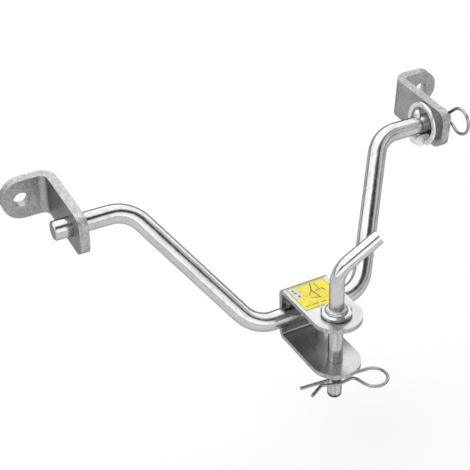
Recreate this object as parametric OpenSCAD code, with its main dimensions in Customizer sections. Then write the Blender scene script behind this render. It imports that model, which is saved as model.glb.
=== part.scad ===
// Drop draw bar for towing: a bent round bar hung between two bolt-on
// brackets, with a welded jaw and a drop-in hitch pin.
// Frame: the origin is midway between the two bolt holes, on the plane of the
// brackets' mounting faces. +X runs along the bolts' line, +Y points at the
// machine that carries the brackets, +Z is up.

/* [Brackets] */
// Distance between the two mounting bolts
bolt_spacing = 390; // [380:1:420]
// Diameter of each mounting bolt hole
bolt_hole_d = 13; // [11:0.5:14]
// Thickness of the bracket's flat steel
bracket_t = 8; // [6:0.5:8]
// Width of the bracket's flat steel
bracket_w = 36; // [34:1:40]
// Reach from the mounting face to the bar's axis
bracket_reach = 59; // [54:1:80]
// Length of bracket ahead of the bar's axis
bracket_nose = 22; // [20:1:32]
// Bolt hole to the bracket's outer side face
bolt_offset = 21; // [19:0.5:22]
// Bolt hole to the leaf's rounded end
leaf_edge = 16.5; // [15:0.5:18]
// Radial play of the bar in its bracket holes
bar_play = 0.3; // [0.2:0.05:0.5]

/* [Bar] */
// Diameter of the round bar
bar_d = 16; // [15:0.5:17]
// Half the distance between the upper bends
upper_half = 119.5; // [110:0.5:125]
// Half the distance between the lower bends
lower_half = 50; // [46:0.5:56]
// How far the bar's middle stands ahead of its ends
bar_forward = 80.5; // [76:0.5:86]
// How far the bar's middle drops below its ends
bar_drop = 90.5; // [86:0.5:96]
// Centre line radius of the four bends
bend_r = 28; // [24:1:32]
// Sideways offset of the bar between the brackets
bar_offset = -5; // [-6:0.5:-3]
// Upward tilt of the jaw at rest, in degrees
rest_tilt = 4.5; // [0:0.5:10]
// Bar beyond the left bracket's outer face
left_stub = 14; // [10:0.5:18]
// Bar beyond the right bracket's outer face
right_stub = 13; // [12:0.5:18]

/* [Jaw] */
// Width of the jaw
jaw_w = 42; // [40:0.5:46]
// Thickness of the jaw's plate
jaw_t = 4; // [3:0.5:5]
// Clear gap between the jaw's plates
jaw_gap = 41.5; // [38:0.5:46]
// Space between the bar and the upper plate
jaw_top_gap = 9; // [8:0.5:12]
// Outer radius of the jaw's two bends
jaw_bend_r = 6; // [5:0.5:8]
// Distance from the bar's middle to the pin's axis
pin_ahead = 41.5; // [38:0.5:46]

/* [Hitch pin] */
// Diameter of the hitch pin
pin_d = 12; // [10:0.5:12]
// Pin below the lower plate
pin_tail = 33.5; // [30:0.5:38]
// Radial play of the pin in the jaw
pin_play = 0.25; // [0.2:0.05:0.5]
// Straight pin above the upper plate, up to the corner
pin_head = 40.7; // [38:0.5:46]
// Length of the pin's bent handle
handle_len = 41.5; // [36:0.5:46]
// Rise of the handle above level, in degrees
handle_rise = 28; // [15:1:45]
// Diameter of the pin's collar
collar_d = 25; // [22:0.5:26]

/* [Clips] */
// Diameter of the spring clips' wire
wire_d = 2.8; // [2.4:0.1:3]
// Distance from the pin's axis to the clip's bow centre
clip_bow_c = 30; // [28:0.5:34]
// Centre line radius of the clip's bow
clip_bow_r = 11.5; // [10:0.1:12]
// Straight leg beyond the pin's axis
clip_leg = 31; // [24:0.5:34]
// Rise of the bar clip's straight leg above level, in degrees
clip_rise = 41; // [0:1:60]

/* [Linch pin] */
// Diameter of the linch pin
linch_d = 6; // [5:0.5:6]
// Lean of the linch pin towards the machine, in degrees
linch_lean = 5; // [0:1:10]
// Outer diameter of the linch pin's spring ring
ring_od = 40; // [39:0.5:42]
// Radial width of the ring's strip
ring_w = 5; // [4:0.1:5]
// Thickness of the ring's strip
ring_t = 2.8; // [2:0.1:2.8]

/* [Hidden] */
$fn = 72;

zinc = [0.78, 0.79, 0.8];
zinc_dark = [0.68, 0.69, 0.7];
label_yellow = [0.96, 0.84, 0.1];

// Brackets
face_x = bolt_spacing / 2 - bolt_offset;
bracket_fold = 6;
leaf_mid = bolt_offset + leaf_edge - bracket_w / 2;
nose_corner = 11;

// Bar, in its own frame: the origin is on the swing axis
bar_r = bar_d / 2;
slope = atan2(bar_drop, bar_forward);
reach = sqrt(bar_forward * bar_forward + bar_drop * bar_drop);
left_end = -face_x - left_stub - bar_offset;
right_end = face_x + right_stub - bar_offset;
clip_x = face_x + 4 - bar_offset;
linch_x = face_x - bracket_t - 10.5 - bar_offset;
end_bevel = 0.8;

// Jaw
web_y = -bar_forward + bar_r;
top_z = -bar_drop + bar_r + jaw_top_gap + jaw_t;
low_z = top_z - jaw_t - jaw_gap;
pin_y = -bar_forward - pin_ahead;

// Hitch pin
pin_r = pin_d / 2;
tip_z = low_z - jaw_t - pin_tail;
clip_z = tip_z + 17;
handle_bend_r = 18;
collar_gap = 0.3;
collar_t = 3.8;
clip_turn = -5.8;

// Clips
wire_r = wire_d / 2;

// Linch pin
linch_r = linch_d / 2;
linch_tip = bar_r + 6.4;
lug_r = 5.25;
lug_t = 10.5;
lug_z = -bar_r - 0.1 - lug_r;
ring_ahead = 4.6;
ring_r = ring_od / 2 - ring_w / 2;
ring_gap = asin((lug_t / 2 + 0.5) / (ring_r - ring_w / 2));
ring_z = lug_z - 2.4;
ring_mid = ring_z + ring_r * cos(ring_gap);
ring_pin_d = ring_t - 0.2;

// Joins in bent rods
lap = 0.3;
thin = 0.05;

// Puts a piece of the bar's assembly into the row's frame
module on_bar() {
  translate([bar_offset, -bracket_reach, 0])
    rotate([-rest_tilt, 0, 0])
      children();
}

// Angle of a vector
function dir(v) = atan2(v[1], v[0]);

// Turn at corner i of a polyline, from -180 to 180
function turn(p, i) =
  let (t = dir(p[i + 1] - p[i]) - dir(p[i] - p[i - 1]))
  t > 180 ? t - 360 : t < -180 ? t + 360 : t;

// Length that the bend at point i takes from each side
function bite(p, r, i) =
  i == 0 || i == len(p) - 1 ? 0 : r[i] * abs(tan(turn(p, i) / 2));

// Round rod along a flat polyline, with bend radius r[i] at point i. Each
// straight reaches a little way into the bends, which are a hair thinner.
module bent_rod(p, r, d, bevel) {
  last = len(p) - 2;
  for (i = [0 : last]) {
    step = p[i + 1] - p[i];
    start = bite(p, r, i) - (i > 0 ? lap : 0);
    end = norm(step) - bite(p, r, i + 1) + (i < last ? lap : 0);
    translate([p[i][0], p[i][1], 0])
      rotate([0, 0, dir(step)])
        translate([start, 0, 0])
          rotate([0, 90, 0])
            bevelled(end - start, d, i == 0 ? bevel : 0, i == last ? bevel : 0);
  }
  for (i = [1 : last]) {
    a = turn(p, i);
    s = a > 0 ? 1 : -1;
    translate([p[i][0], p[i][1], 0])
      rotate([0, 0, dir(p[i] - p[i - 1])])
        translate([-bite(p, r, i), s * r[i], 0])
          rotate([0, 0, s > 0 ? -90 : 90 + a])
            rotate_extrude(angle = abs(a))
              translate([r[i], 0])
                circle(r = d / 2 - thin);
  }
}

// Straight rod with a bevel at either end
module bevelled(run, d, b0, b1) {
  rotate_extrude()
    polygon([[0, 0], [d / 2 - b0, 0], [d / 2, b0], [d / 2, run - b1], [d / 2 - b1, run], [0, run]]);
}

// Flat plate with a full round end, seen along Z
module tongue(length, width, t) {
  translate([0, -width / 2, 0])
    cube([length, width, t]);
  translate([length, 0, 0])
    cylinder(d = width, h = t);
}

// Right-hand bracket, with its outer side face on x = 0
module bracket() {
  fold_r = bracket_fold + bracket_t;
  difference() {
    union() {
      // side plate
      translate([-bracket_t, -bracket_reach, -bracket_w / 2])
        cube([bracket_t, bracket_reach - fold_r, bracket_w]);
      translate([-bracket_t, -bracket_reach - bracket_nose, 0])
        rotate([0, 90, 0])
          nose();
      // fold
      translate([bracket_fold, -fold_r, -bracket_w / 2])
        rotate([0, 0, 90])
          rotate_extrude(angle = 90)
            translate([bracket_fold, 0])
              square([bracket_t, bracket_w]);
      // bolt leaf
      translate([bracket_fold, 0, 0])
        rotate([90, 0, 0])
          tongue(leaf_mid - bracket_fold, bracket_w, bracket_t);
    }
    translate([-bracket_t - 1, -bracket_reach, 0])
      rotate([0, 90, 0])
        cylinder(d = bar_d + 2 * bar_play, h = bracket_t + 2);
    translate([bolt_offset, 1, 0])
      rotate([90, 0, 0])
        cylinder(d = bolt_hole_d, h = bracket_t + 2);
  }
}

// Front end of the side plate, with two rounded corners
module nose() {
  half = bracket_w / 2;
  translate([-half, nose_corner, 0])
    cube([bracket_w, bracket_nose - nose_corner, bracket_t]);
  translate([-half + nose_corner, 0, 0])
    cube([bracket_w - 2 * nose_corner, nose_corner, bracket_t]);
  for (s = [-1, 1])
    translate([s * (half - nose_corner), nose_corner, 0])
      cylinder(r = nose_corner, h = bracket_t);
}

module bracket_left() {
  color(zinc)
    translate([-face_x, 0, 0])
      mirror([1, 0, 0])
        bracket();
}

module bracket_right() {
  color(zinc)
    translate([face_x, 0, 0])
      bracket();
}

module draw_bar() {
  path = [
    [left_end, 0],
    [-upper_half, 0],
    [-lower_half, -reach],
    [lower_half, -reach],
    [upper_half, 0],
    [right_end, 0]
  ];
  radii = [0, bend_r, bend_r, bend_r, bend_r, 0];
  color(zinc)
    on_bar()
      difference() {
        rotate([slope, 0, 0])
          bent_rod(path, radii, bar_d, end_bevel);
        translate([linch_x, 0, 0])
          rotate([-linch_lean, 0, 0])
            cylinder(d = linch_d + 0.4, h = bar_d + 2, center = true);
        translate([clip_x, 0, 0])
          rotate([90 - clip_rise, 0, 0])
            cylinder(d = wire_d + 0.6, h = bar_d + 2, center = true);
      }
}

// One plate of the jaw, with its back edge at the bend's start
module jaw_plate() {
  translate([0, web_y + jaw_t - jaw_bend_r, 0])
    rotate([0, 0, -90])
      tongue(-pin_y + web_y + jaw_t - jaw_bend_r, jaw_w, jaw_t);
}

// Quarter bend of the jaw's plate, from -Z round to -Y
module jaw_fold() {
  rotate([0, 90, 0])
    rotate_extrude(angle = 90)
      translate([jaw_bend_r - jaw_t, -jaw_w / 2])
        square([jaw_t, jaw_w]);
}

module hitch_jaw() {
  fold_y = web_y + jaw_t - jaw_bend_r;
  web_h = top_z - low_z + jaw_t - 2 * jaw_bend_r;
  color(zinc)
    on_bar()
      difference() {
        union() {
          translate([0, 0, top_z - jaw_t])
            jaw_plate();
          translate([0, 0, low_z - jaw_t])
            jaw_plate();
          translate([-jaw_w / 2, web_y, low_z - jaw_t + jaw_bend_r])
            cube([jaw_w, jaw_t, web_h]);
          translate([0, fold_y, top_z - jaw_bend_r])
            rotate([90, 0, 0])
              jaw_fold();
          translate([0, fold_y, low_z - jaw_t + jaw_bend_r])
            jaw_fold();
        }
        translate([0, pin_y, low_z - jaw_t - 1])
          cylinder(d = pin_d + 2 * pin_play, h = top_z - low_z + jaw_t + 2);
      }
}

// Ridged weld along X in the crevice between the bar and the jaw's web
module weld_bead(side) {
  ridges = 15;
  pitch = (jaw_w - 6) / ridges;
  difference() {
    for (i = [0 : ridges - 1])
      translate([-jaw_w / 2 + 3 + i * pitch, web_y - 3, -bar_drop + side * 7.5])
        rotate([0, 90, 0])
          cylinder(r1 = 3.9, r2 = 3.5, h = pitch);
    translate([-jaw_w, -bar_forward, -bar_drop])
      rotate([0, 90, 0])
        cylinder(d = bar_d, h = 2 * jaw_w);
    translate([-jaw_w, web_y, -bar_drop - 20])
      cube([2 * jaw_w, 10, 40]);
  }
}

module weld_bead_upper() {
  color(zinc_dark)
    on_bar()
      weld_bead(1);
}

module weld_bead_lower() {
  color(zinc_dark)
    on_bar()
      weld_bead(-1);
}

module picture_label() {
  label_w = 35;
  label_l = 32;
  color(label_yellow)
    on_bar()
      translate([-18.5, web_y + jaw_t - jaw_bend_r - 0.4 - label_l, top_z])
        cube([label_w, label_l, 0.2]);
}

// Moves to the hitch pin's axis
module on_pin() {
  on_bar()
    translate([0, pin_y, 0])
      children();
}

module hitch_pin() {
  corner_z = top_z + pin_head;
  path = [
    [tip_z + 4, 0],
    [corner_z, 0],
    [corner_z + handle_len * sin(handle_rise), handle_len * cos(handle_rise)]
  ];
  color(zinc)
    on_pin()
      difference() {
        union() {
          // shank and handle, drawn along X and turned upright
          rotate([0, -90, 0])
            rotate([-90, 0, 0])
              bent_rod(path, [0, handle_bend_r, 0], pin_d, 0);
          // rounded tip
          translate([0, 0, tip_z])
            rotate_extrude()
              polygon(concat(
                [[0, 0]],
                [for (a = [0 : 15 : 90]) [pin_r - 3 + 3 * sin(a), 3 - 3 * cos(a)]],
                [[pin_r, 4], [0, 4]]
              ));
        }
        translate([0, 0, clip_z])
          rotate([0, 0, clip_turn])
            rotate([0, 90, 0])
              cylinder(d = wire_d + 0.6, h = 2 * pin_d, center = true);
      }
}

module pin_collar() {
  base = top_z + collar_gap;
  color(zinc)
    on_pin()
      translate([0, 0, base])
        rotate_extrude()
          polygon([
            [pin_r, 0],
            [collar_d / 2 - 0.6, 0],
            [collar_d / 2, 0.6],
            [collar_d / 2, collar_t - 1],
            [collar_d / 2 - 1.4, collar_t],
            [pin_r, collar_t]
          ]);
}

module collar_weld() {
  base = top_z + collar_gap + collar_t;
  color(zinc_dark)
    on_pin()
      translate([0, 0, base])
        rotate_extrude()
          difference() {
            translate([pin_r + 0.4, -0.6])
              circle(r = 3.4);
            translate([-10, -20])
              square([10 + pin_r, 40]);
            translate([0, -20])
              square([20, 20]);
          }
}

// Corner where two tangents of a circle meet, at angles a and b
function tangents_meet(c, r, a, b) =
  c + r / cos((b - a) / 2) * [cos((a + b) / 2), sin((a + b) / 2)];

// Angle at which the tangent from point q touches a circle
function touch(c, r, q, s) =
  let (v = q - c)
  (dir(v) + 360) % 360 + s * acos(r / norm(v));

// Spring clip lying in XY: the straight leg runs along X through a shaft of
// radius shaft_r, and the waved leg passes round it on the +Y side
module spring_clip(shaft_r, pinch, neck, flare) {
  $fn = 24;
  seat = shaft_r + wire_r + 0.15;
  bow = [clip_bow_c, clip_bow_r];
  bow_leave = touch(bow, clip_bow_r, pinch, -1);
  seat_in = touch([0, 0], seat, pinch, 1);
  seat_out = touch([0, 0], seat, neck, -1);
  path = [
    [-clip_leg, 0],
    [clip_bow_c + clip_bow_r, 0],
    tangents_meet(bow, clip_bow_r, 0, bow_leave),
    pinch,
    tangents_meet([0, 0], seat, seat_in, seat_out),
    neck,
    flare
  ];
  bent_rod(path, [0, clip_bow_r, clip_bow_r, 5, seat, 4, 0], wire_d, 0.4);
}

module pin_clip() {
  color(zinc)
    on_pin()
      translate([0, 0, clip_z])
        rotate([0, 0, clip_turn])
          mirror([0, 1, 0])
            spring_clip(pin_r, [15, 4.6], [-14, 3.4], [-26.5, 12.5]);
}

module bar_clip() {
  color(zinc)
    on_bar()
      translate([clip_x, 0, 0])
        rotate([-clip_rise, 0, 0])
          rotate([-90, 0, -90])
            spring_clip(bar_r, [16.5, 7], [-17, 3.6], [-27, 11]);
}

// Moves to the linch pin's axis
module on_linch() {
  on_bar()
    translate([linch_x, 0, 0])
      rotate([-linch_lean, 0, 0])
        children();
}

module linch_pin() {
  color(zinc_dark)
    on_linch()
      difference() {
        union() {
          translate([0, 0, lug_z])
            cylinder(r = linch_r, h = linch_tip - linch_r - lug_z);
          translate([0, 0, linch_tip - linch_r])
            sphere(r = linch_r);
          // head, an oblong block with round ends
          translate([0, lug_t / 2, lug_z])
            rotate([90, 0, 0]) {
              cylinder(r = lug_r, h = lug_t);
              tongue(ring_ahead, 2 * lug_r, lug_t);
            }
        }
        // hole for the ring's ends
        translate([ring_ahead, 0, ring_z])
          rotate([90, 0, 0])
            cylinder(d = ring_pin_d + 0.3, h = lug_t + 2, center = true);
      }
}

module linch_ring() {
  color(zinc)
    on_linch()
      translate([ring_ahead, 0, 0])
        union() {
          translate([0, 0, ring_mid])
            rotate([0, 90, 0])
              rotate([0, 0, ring_gap])
                rotate_extrude(angle = 360 - 2 * ring_gap)
                  translate([ring_r, 0])
                    strip();
          for (s = [-1, 1])
            translate([0, s * 2.2, ring_z])
              rotate([-s * 90, 0, 0])
                cylinder(d = ring_pin_d, h = lug_t / 2 - 0.2);
        }
}

// Section of the ring's strip, rounded on its two narrow sides
module strip() {
  flat = ring_w - ring_t;
  square([flat, ring_t], center = true);
  for (s = [-1, 1])
    translate([s * flat / 2, 0])
      circle(d = ring_t);
}

bracket_left();
bracket_right();
draw_bar();
hitch_jaw();
weld_bead_upper();
weld_bead_lower();
picture_label();
hitch_pin();
pin_collar();
collar_weld();
pin_clip();
linch_pin();
linch_ring();
bar_clip();
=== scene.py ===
"""A zinc plated drop draw bar between two brackets, on a plain pale floor."""

import bmesh
import bpy
from math import cos, pi, radians, sin
from mathutils import Matrix, Vector


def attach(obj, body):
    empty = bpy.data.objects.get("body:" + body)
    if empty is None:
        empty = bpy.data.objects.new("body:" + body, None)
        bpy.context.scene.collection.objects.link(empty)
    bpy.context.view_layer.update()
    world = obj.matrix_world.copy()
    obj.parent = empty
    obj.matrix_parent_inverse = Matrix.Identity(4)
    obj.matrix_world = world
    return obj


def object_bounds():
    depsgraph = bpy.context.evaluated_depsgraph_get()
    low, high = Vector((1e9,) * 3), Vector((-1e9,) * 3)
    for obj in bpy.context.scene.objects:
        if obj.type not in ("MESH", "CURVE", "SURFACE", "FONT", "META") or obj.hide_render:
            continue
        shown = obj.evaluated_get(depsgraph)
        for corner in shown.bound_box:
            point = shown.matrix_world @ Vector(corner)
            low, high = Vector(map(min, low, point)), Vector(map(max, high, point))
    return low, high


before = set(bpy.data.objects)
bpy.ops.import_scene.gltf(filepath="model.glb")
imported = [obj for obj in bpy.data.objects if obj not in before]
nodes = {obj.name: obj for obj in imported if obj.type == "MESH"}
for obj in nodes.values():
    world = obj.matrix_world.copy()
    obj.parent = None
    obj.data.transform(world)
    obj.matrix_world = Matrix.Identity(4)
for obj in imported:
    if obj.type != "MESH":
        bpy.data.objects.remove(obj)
cad_box = [list(corner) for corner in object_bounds()]

MM = 0.001
TILT = radians(4.5)  # the bar's assembly leans up this much at rest
SWING_POINT = (-0.005, -0.059, 0)  # on the bar's swing axis, level with the jaw's middle
LABEL_CORNER = (-0.0185, -0.0749, -0.0693)  # back left corner, from SWING_POINT, before the lean
FLOOR_DROP = 0.12  # from the lowest point to the floor


# ---------------------------------------------------------------- camera


def add_camera(place, azimuth, elevation, roll, lens):
    """A camera that looks along azimuth (from +Y towards +X) and down by elevation."""
    level = cos(elevation)
    ahead = Vector((sin(azimuth) * level, cos(azimuth) * level, -sin(elevation)))
    right = Vector((cos(azimuth), -sin(azimuth), 0))
    up = right.cross(ahead)
    right, up = right * cos(roll) + up * sin(roll), up * cos(roll) - right * sin(roll)
    data = bpy.data.cameras.new("camera")
    data.lens = lens
    data.sensor_width = 36
    camera = bpy.data.objects.new("camera", data)
    facing = Matrix((right, up, -ahead)).transposed().to_4x4()
    camera.matrix_world = Matrix.Translation(place) @ facing
    bpy.context.collection.objects.link(camera)
    bpy.context.scene.camera = camera


add_camera(
    Vector((-0.3947, -0.7366, 0.5216)),
    azimuth=radians(28.44),
    elevation=radians(37.0),
    roll=radians(0.67),
    lens=86.1,
)


# ---------------------------------------------------------------- materials


class Shader:
    """A Principled material, and short ways to add nodes to it."""

    def __init__(self, name, **values):
        self.material = bpy.data.materials.new(name)
        self.material.use_nodes = True
        self.tree = self.material.node_tree
        self.bsdf = self.tree.nodes["Principled BSDF"]
        for socket, value in values.items():
            self.bsdf.inputs[socket.replace("_", " ")].default_value = value

    def node(self, kind, inputs=(), **settings):
        made = self.tree.nodes.new(kind)
        for key, value in settings.items():
            setattr(made, key, value)
        for key, value in dict(inputs).items():
            self.put(made.inputs[key], value)
        return made

    def put(self, socket, value):
        if isinstance(value, bpy.types.NodeSocket):
            self.tree.links.new(value, socket)
        else:
            socket.default_value = value

    def place(self, stretch=(1, 1, 1)):
        """Object coordinates in millimetres, stretched."""
        where = self.node("ShaderNodeTexCoord").outputs["Object"]
        scale = [s / MM for s in stretch]
        return self.node("ShaderNodeMapping", {"Vector": where, "Scale": scale}).outputs[0]

    def noise(self, where, scale, detail=4, rough=0.55):
        return self.node(
            "ShaderNodeTexNoise",
            {"Vector": where, "Scale": scale, "Detail": detail, "Roughness": rough},
        ).outputs["Fac"]

    def span(self, value, low, high, to_low=0.0, to_high=1.0):
        """Maps low..high to to_low..to_high, held at the ends."""
        inputs = {0: value, 1: low, 2: high, 3: to_low, 4: to_high}
        return self.node("ShaderNodeMapRange", inputs).outputs[0]

    def sum(self, a, b, how="ADD"):
        """Adds two values, or joins them by another math operation."""
        return self.node("ShaderNodeMath", {0: a, 1: b}, operation=how).outputs[0]

    def ramp(self, value, stops):
        made = self.node("ShaderNodeValToRGB", {"Fac": value})
        points = made.color_ramp.elements
        while len(points) < len(stops):
            points.new(0.5)
        for point, (at, colour) in zip(points, stops):
            point.position = at
            point.color = (*colour, 1)
        return made.outputs["Color"]

    def mix(self, factor, a, b, how="MIX"):
        made = self.node("ShaderNodeMix", data_type="RGBA", blend_type=how)
        self.put(made.inputs["Factor"], factor)
        for key, value in (("A", a), ("B", b)):
            socket = [s for s in made.inputs if s.name == key and s.type == "RGBA"][0]
            self.put(socket, (*value, 1) if isinstance(value, tuple) and len(value) == 3 else value)
        return [s for s in made.outputs if s.type == "RGBA"][0]

    def bump(self, height, strength, distance, under=None):
        inputs = {"Height": height, "Strength": strength, "Distance": distance}
        made = self.node("ShaderNodeBump", inputs)
        if under is not None:
            self.put(made.inputs["Normal"], under)
        return made.outputs["Normal"]

    def finish(self, colour, roughness, normal):
        self.put(self.bsdf.inputs["Base Color"], colour)
        self.put(self.bsdf.inputs["Roughness"], roughness)
        self.put(self.bsdf.inputs["Normal"], normal)
        return self.material


EDGE_TINT = (0.35, 0.35, 0.36, 1)  # darkens metal at a grazing angle
JAW_TOP = -62  # about the height of the jaw's upper plate in millimetres; painted reflection streaks on the pin start below it


def zinc(
    name, light, dark, rough, grain, wave, pit, mottle=0.0, grit=0.0, reflection_streak=0.0, painted_shade_below=None
):
    """Bright zinc plating: cloudy colour, patchy gloss, fine grain and slow waves.
    Mottle darkens it in blotches a few millimetres wide and grit in specks of about one.
    A streak strength paints dark reflection streaks along Z below the jaw's upper plate, and a
    height in millimetres sets where the surface below it is painted near black as shade."""
    s = Shader(name, Metallic=1.0)
    s.bsdf.inputs["Specular Tint"].default_value = EDGE_TINT
    where = s.place()
    cloud = s.noise(where, 0.06, 3)
    patch = s.noise(where, 0.35, 5, 0.6)
    fine = s.noise(where, 2.2, 4, 0.65)
    both = s.sum(s.sum(cloud, patch), 0.5, "MULTIPLY")
    bright = tuple(min(1, c * 1.05) for c in light)
    colour = s.ramp(both, [(0.3, dark), (0.52, light), (0.75, bright)])
    stain = s.span(s.noise(where, 0.9, 6, 0.7), 0.6, 0.78)
    colour = s.mix(s.sum(stain, 0.35, "MULTIPLY"), colour, tuple(c * 0.72 for c in dark))
    if mottle:
        blotch = s.span(s.noise(where, 0.28, 6, 0.75), 0.46, 0.62, 0, mottle)
        colour = s.mix(blotch, colour, tuple(c * 0.6 for c in dark))
    if grit:
        speck = s.span(s.noise(where, 0.7, 3, 0.7), 0.42, 0.62, 0, grit)
        colour = s.mix(speck, colour, tuple(c * 0.5 for c in dark))
    height = s.node("ShaderNodeSeparateXYZ", {0: where}).outputs["Z"]
    # painted reflection: dark streaks along Z on the part below the jaw's upper plate
    if reflection_streak:
        line = s.span(s.noise(s.place((1, 1, 0.02)), 0.33, 3, 0.6), 0.44, 0.60, 0, reflection_streak)
        line = s.sum(line, s.span(height, JAW_TOP - 4, JAW_TOP, 1, 0), "MULTIPLY")
        colour = s.mix(line, colour, tuple(c * 0.5 for c in dark))
    # painted shade: near black below the given height, with a wavy boundary
    if painted_shade_below is not None:
        edge = s.sum(height, s.sum(patch, 3, "MULTIPLY"))
        shade_mask = s.span(edge, painted_shade_below + 1.3, painted_shade_below + 2.3, 0.93, 0)
        colour = s.mix(shade_mask, colour, (0.05, 0.05, 0.05))
    gloss = s.sum(s.span(patch, 0.3, 0.7, rough[0], rough[1]), s.span(fine, 0.35, 0.7, 0, 0.05))
    normal = s.bump(cloud, wave, 0.002)
    normal = s.bump(patch, pit, 0.0006, normal)
    normal = s.bump(fine, grain, 0.0002, normal)
    return s.finish(colour, gloss, normal)


zinc_bar = zinc(
    "zinc_bar", (0.54, 0.547, 0.55), (0.40, 0.407, 0.41), (0.07, 0.17), 0.12, 0.14, 0.06
)
# the pin gets painted reflection streaks below the jaw and painted shade, near black, at its lower
# end
zinc_pin = zinc(
    "zinc_pin", (0.56, 0.565, 0.57), (0.42, 0.425, 0.43), (0.08, 0.18), 0.12, 0.12, 0.06,
    reflection_streak=0.5, painted_shade_below=-138,
)
zinc_plate = zinc(
    "zinc_plate", (0.42, 0.423, 0.42), (0.28, 0.283, 0.28), (0.30, 0.46), 0.4, 0.08, 0.25,
    mottle=0.3, grit=0.5,
)
zinc_jaw = zinc(
    "zinc_jaw", (0.47, 0.473, 0.475), (0.38, 0.383, 0.385), (0.24, 0.33), 0.12, 0.08, 0.06,
    mottle=0.08, grit=0.12,
)
cut_edge = zinc(
    "cut_edge", (0.56, 0.56, 0.565), (0.36, 0.36, 0.365), (0.32, 0.50), 0.8, 0.12, 0.5,
    mottle=0.5, grit=0.55,
)
wire_zinc = zinc(
    "wire_zinc", (0.34, 0.35, 0.355), (0.20, 0.21, 0.215), (0.08, 0.20), 0.15, 0.05, 0.08
)
forged_zinc = zinc(
    "forged_zinc", (0.80, 0.805, 0.805), (0.48, 0.485, 0.485), (0.30, 0.45), 0.5, 0.35, 0.6
)
ring_zinc = zinc(
    "ring_zinc", (0.72, 0.725, 0.73), (0.50, 0.505, 0.51), (0.20, 0.34),
    0.2, 0.10, 0.1, mottle=0.2,
)
weld_zinc = zinc(
    "weld_zinc", (0.50, 0.50, 0.495), (0.20, 0.20, 0.195), (0.14, 0.32), 0.6, 0.5, 0.9, mottle=0.4
)

for name, material in {
    "bracket_left": zinc_plate,
    "bracket_right": zinc_plate,
    "draw_bar": zinc_bar,
    "hitch_jaw": zinc_jaw,
    "weld_bead_upper": weld_zinc,
    "weld_bead_lower": weld_zinc,
    "hitch_pin": zinc_pin,
    "pin_collar": zinc_bar,
    "collar_weld": weld_zinc,
    "pin_clip": wire_zinc,
    "bar_clip": wire_zinc,
    "linch_ring": ring_zinc,
    "linch_pin": forged_zinc,
}.items():
    mesh = nodes[name].data
    mesh.materials.clear()
    mesh.materials.append(material)


def cut_edges(name, is_edge):
    """Gives the sheared edges of a plate a second, lighter and more matt material."""
    node = nodes[name]
    mesh = node.data
    mesh.materials.append(cut_edge)
    turn = node.matrix_world.to_3x3()
    for face in mesh.polygons:
        centre = node.matrix_world @ face.center
        if is_edge(centre, (turn @ face.normal).normalized()):
            face.material_index = 1


SLANT = 0.05  # least part of a normal that makes a face count as a cut edge


def bracket_edge(centre, normal):
    return abs(normal.z) > SLANT or centre.y < -0.0805 or abs(centre.x) > 0.2105


def jaw_edge(centre, normal):
    along = normal.y * cos(TILT) - normal.z * sin(TILT)
    return abs(normal.x) > SLANT or (abs(along) > 0.5 and centre.y < -0.15)


cut_edges("bracket_left", bracket_edge)
cut_edges("bracket_right", bracket_edge)
cut_edges("hitch_jaw", jaw_edge)


def round_edges(name, width):
    """Softens a part's sharp edges; the bevel stays inside the CAD shape."""
    bevel = nodes[name].modifiers.new("edges", "BEVEL")
    bevel.width = width * MM
    bevel.segments = 3
    bevel.limit_method = "ANGLE"
    bevel.angle_limit = radians(40)
    bevel.miter_outer = "MITER_ARC"
    bevel.use_clamp_overlap = True


for name, width in {
    "bracket_left": 0.7,
    "bracket_right": 0.7,
    "hitch_jaw": 0.5,
    "linch_pin": 0.8,
    "pin_collar": 0.3,
}.items():
    round_edges(name, width)


def label_print(name, light, mid, dark):
    s = Shader(name, IOR=1.48)
    where = s.place()
    fade = s.noise(where, 0.12, 4)
    colour = s.ramp(fade, [(0.3, dark), (0.55, mid), (0.8, light)])
    speck = s.span(s.noise(where, 1.6, 5, 0.7), 0.62, 0.75)
    colour = s.mix(s.sum(speck, 0.4, "MULTIPLY"), colour, tuple(c * 0.6 for c in dark))
    roughness = s.span(s.noise(where, 0.6, 5), 0.3, 0.7, 0.28, 0.45)
    normal = s.bump(s.noise(where, 0.8, 4), 0.12, 0.0003)
    return s.finish(colour, roughness, normal)


label_yellow = label_print(
    "label_yellow", (0.72, 0.62, 0.035), (0.66, 0.55, 0.02), (0.56, 0.45, 0.01)
)
label_pale = label_print("label_pale", (0.62, 0.63, 0.60), (0.52, 0.54, 0.50), (0.42, 0.43, 0.38))
label_ink = label_print(
    "label_ink", (0.10, 0.09, 0.035), (0.07, 0.065, 0.03), (0.04, 0.04, 0.025)
)

label = nodes["picture_label"].data
label.materials.clear()
label.materials.append(label_yellow)

# from millimetres right of and ahead of the label's back left corner to the row's frame
on_label = (
    Matrix.Translation(SWING_POINT)
    @ Matrix.Rotation(-TILT, 4, "X")
    @ Matrix.Translation(LABEL_CORNER)
    @ Matrix.Diagonal((MM, -MM, MM, 1))
)


def printed(name, shapes, height, material):
    """Flat printed shapes on the label, each a convex outline raised by its ink."""
    bm = bmesh.new()
    for outline in shapes:
        low = [bm.verts.new(on_label @ Vector((u, v, 0.0))) for u, v in outline]
        high = [bm.verts.new(on_label @ Vector((u, v, height))) for u, v in outline]
        bm.faces.new(low)
        bm.faces.new(high[::-1])
        for i in range(len(outline)):
            j = (i + 1) % len(outline)
            bm.faces.new((low[j], low[i], high[i], high[j]))
    bmesh.ops.recalc_face_normals(bm, faces=bm.faces)
    mesh = bpy.data.meshes.new(name)
    bm.to_mesh(mesh)
    bm.free()
    mesh.materials.append(material)
    made = bpy.data.objects.new(name, mesh)
    bpy.context.collection.objects.link(made)
    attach(made, "bar")


def stroke(u0, v0, u1, v1, width):
    """A straight line of even width, as an outline."""
    along = Vector((u1 - u0, v1 - v0)).normalized() * width / 2
    side = Vector((-along.y, along.x))
    a, b = Vector((u0, v0)) - along, Vector((u1, v1)) + along
    return [tuple(a + side), tuple(a - side), tuple(b - side), tuple(b + side)]


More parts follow.
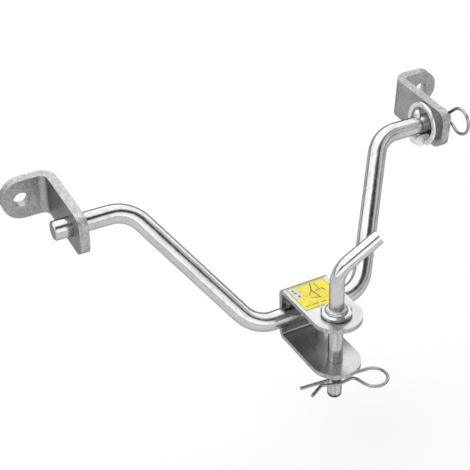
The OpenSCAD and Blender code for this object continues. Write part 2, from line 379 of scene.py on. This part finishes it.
printed("label_patch", [[(0.8, 0.8), (7.5, 1.2), (9.5, 11), (4, 16), (0.8, 14)]], 0.02, label_pale)
printed(
    "label_drawing",
    [
        # border
        stroke(0.5, 0.5, 34.5, 0.5, 0.35),
        stroke(34.5, 0.5, 34.5, 31.5, 0.35),
        stroke(34.5, 31.5, 0.5, 31.5, 0.35),
        stroke(0.5, 31.5, 0.5, 0.5, 0.35),
        # a bent link hung between two short arms
        stroke(21.5, 1.5, 18, 10, 0.9),
        stroke(24.5, 2.5, 24.5, 10, 0.7),
        stroke(18, 10, 19.5, 21.5, 0.9),
        stroke(18, 10, 13, 15.5, 0.7),
        stroke(13, 18.5, 20, 22, 0.9),
        stroke(20.5, 12.5, 25, 11.5, 0.7),
        stroke(27, 11, 28, 15, 1.0),
        # dots in the pale patch and a broken rule at the front
        stroke(4.0, 3.2, 4.2, 4.6, 1.4),
        stroke(4.2, 7.0, 4.4, 8.2, 1.4),
        stroke(5.0, 12.2, 5.3, 13.4, 1.6),
        stroke(3, 27.2, 7, 27.2, 0.9),
        stroke(9, 27.4, 14, 27.4, 0.9),
        stroke(17, 27.6, 21, 27.6, 0.9),
    ],
    0.03,
    label_ink,
)


# ---------------------------------------------------------------- floor and light


def add_floor():
    bm = bmesh.new()
    bmesh.ops.create_grid(bm, x_segments=2, y_segments=2, size=6)
    mesh = bpy.data.meshes.new("floor")
    bm.to_mesh(mesh)
    bm.free()
    floor = bpy.data.objects.new("floor", mesh)
    floor.location.z = cad_box[0][2] - FLOOR_DROP
    s = Shader("floor_white", Roughness=0.9, Base_Color=(0.75, 0.75, 0.75, 1))
    mesh.materials.append(s.material)
    bpy.context.collection.objects.link(floor)


def add_light(name, place, aim, size, power):
    data = bpy.data.lights.new(name, "AREA")
    data.shape = "RECTANGLE"
    data.size, data.size_y = size
    data.energy = power
    light = bpy.data.objects.new(name, data)
    light.location = place
    light.rotation_euler = (Vector(aim) - Vector(place)).to_track_quat("-Z", "Y").to_euler()
    bpy.context.collection.objects.link(light)


def ramp_node(tree, value, stops):
    """A colour ramp of grey levels, driven by the first output of value."""
    ramp = tree.nodes.new("ShaderNodeValToRGB")
    points = ramp.color_ramp.elements
    while len(points) < len(stops):
        points.new(0.5)
    for point, (at, level) in zip(points, stops):
        point.position = at
        point.color = (level, level, level, 1)
    tree.links.new(value.outputs[0], ramp.inputs["Fac"])
    return ramp.outputs["Color"]


def add_world():
    """A studio whose brightness follows the angle about the X axis, from the back (0)
    over the top (0.5) to the front (1), with a dark band where a camera would stand."""
    world = bpy.data.worlds.new("studio")
    world.use_nodes = True
    tree = world.node_tree
    back = tree.nodes["Background"]
    where = tree.nodes.new("ShaderNodeTexCoord")
    parts = tree.nodes.new("ShaderNodeSeparateXYZ")
    angle = tree.nodes.new("ShaderNodeMath")
    angle.operation = "ARCTAN2"
    turn = tree.nodes.new("ShaderNodeMath")
    turn.operation = "DIVIDE"
    turn.inputs[1].default_value = pi
    tree.links.new(where.outputs["Generated"], parts.inputs[0])
    tree.links.new(parts.outputs["Z"], angle.inputs[0])
    tree.links.new(parts.outputs["Y"], angle.inputs[1])
    tree.links.new(angle.outputs[0], turn.inputs[0])
    left = ramp_node(tree, turn, [
        (0.00, 0.40), (0.09, 0.50), (0.16, 1.70), (0.54, 1.80), (0.60, 0.30),
        (0.64, 0.06), (0.73, 0.08), (0.78, 1.40), (0.95, 1.90), (1.00, 1.20),
    ])
    right = ramp_node(tree, turn, [
        (0.00, 0.30), (0.09, 0.40), (0.17, 1.60), (0.52, 1.70), (0.58, 0.20),
        (0.63, 0.04), (0.76, 0.10), (0.82, 0.65), (0.95, 0.55), (1.00, 0.30),
    ])
    side = tree.nodes.new("ShaderNodeMapRange")
    side.inputs[1].default_value = 0.25
    side.inputs[2].default_value = 0.60
    tree.links.new(parts.outputs["X"], side.inputs[0])
    blend = tree.nodes.new("ShaderNodeMix")
    blend.data_type = "RGBA"
    tree.links.new(side.outputs[0], blend.inputs["Factor"])
    for key, source in (("A", left), ("B", right)):
        socket = [i for i in blend.inputs if i.name == key and i.type == "RGBA"][0]
        tree.links.new(source, socket)
    result = [o for o in blend.outputs if o.type == "RGBA"][0]
    tree.links.new(result, back.inputs["Color"])
    back.inputs["Strength"].default_value = 1.0
    bpy.context.scene.world = world


add_floor()
add_world()
middle = [(a + b) / 2 for a, b in zip(*cad_box)]
add_light("key", (-0.7, -0.5, 1.3), middle, (0.9, 0.6), 3)
add_light("fill", (1.1, -0.7, 0.9), middle, (0.6, 1.0), 1.5)
add_light("back", (0.2, 1.2, 1.0), middle, (1.4, 0.4), 2)
bpy.context.scene.view_settings.view_transform = "Standard"
